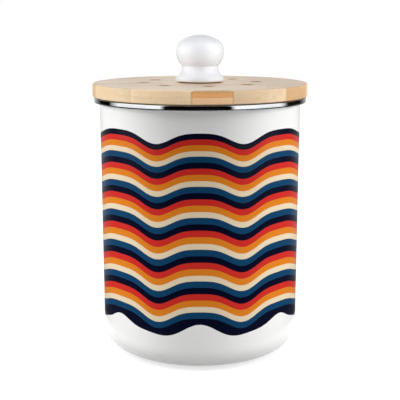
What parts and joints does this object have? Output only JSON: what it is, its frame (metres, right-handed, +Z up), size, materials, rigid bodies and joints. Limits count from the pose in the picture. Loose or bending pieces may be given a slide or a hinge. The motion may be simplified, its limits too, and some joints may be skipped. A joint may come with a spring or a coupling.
{
  "type": "compost caddy",
  "caption": "Cylindrical enamelled steel kitchen compost caddy with a lift-off vented wood lid, a ceramic knob and a twist-off charcoal filter holder.",
  "frame": {"origin": "centre of the base pad's underside, on the can's axis", "axes": "+Z up along the can's axis, front towards -Y"},
  "size_m": [0.165, 0.165, 0.2435],
  "materials": {
    "enamelled_steel": "glossy white vitreous enamel on drawn steel",
    "polished_steel": "polished stainless steel strip",
    "eva_pad": "matt black anti-slip rubber",
    "laminated_wood": "laminated pale wood, sanded and lightly oiled",
    "glazed_ceramic": "white glazed ceramic",
    "brass": "turned brass",
    "gasket_rubber": "brown rubber",
    "zinc_steel": "bright zinc-plated steel",
    "moulded_pp": "satin moulded polypropylene",
    "silicone": "translucent white silicone",
    "charcoal_felt": "needled felt filled with charcoal"
  },
  "bodies": {
    "canister": {"canister_shell": "enamelled_steel", "rim_band": "polished_steel", "base_pad": "eva_pad"},
    "lid": {"lid_board": "laminated_wood", "knob": "glazed_ceramic", "knob_insert": "brass", "knob_gasket": "gasket_rubber", "knob_bolt": "zinc_steel", "knob_washer": "zinc_steel", "filter_housing": "moulded_pp", "housing_screws": "zinc_steel", "lid_seal": "silicone", "charcoal_pad": "charcoal_felt"},
    "cover": {"filter_cover": "moulded_pp"}
  },
  "joints": [
    {"name": "lid_lift", "type": "slide", "parent": "canister", "child": "lid", "axis": [0, 0, 1], "range_m": [0, 0.18]},
    {"name": "cover_turn", "type": "hinge", "parent": "lid", "child": "cover", "pos_m": [0, 0, 0.1805], "axis": [0, 0, 1], "range_deg": [0, 31]}
  ]
}
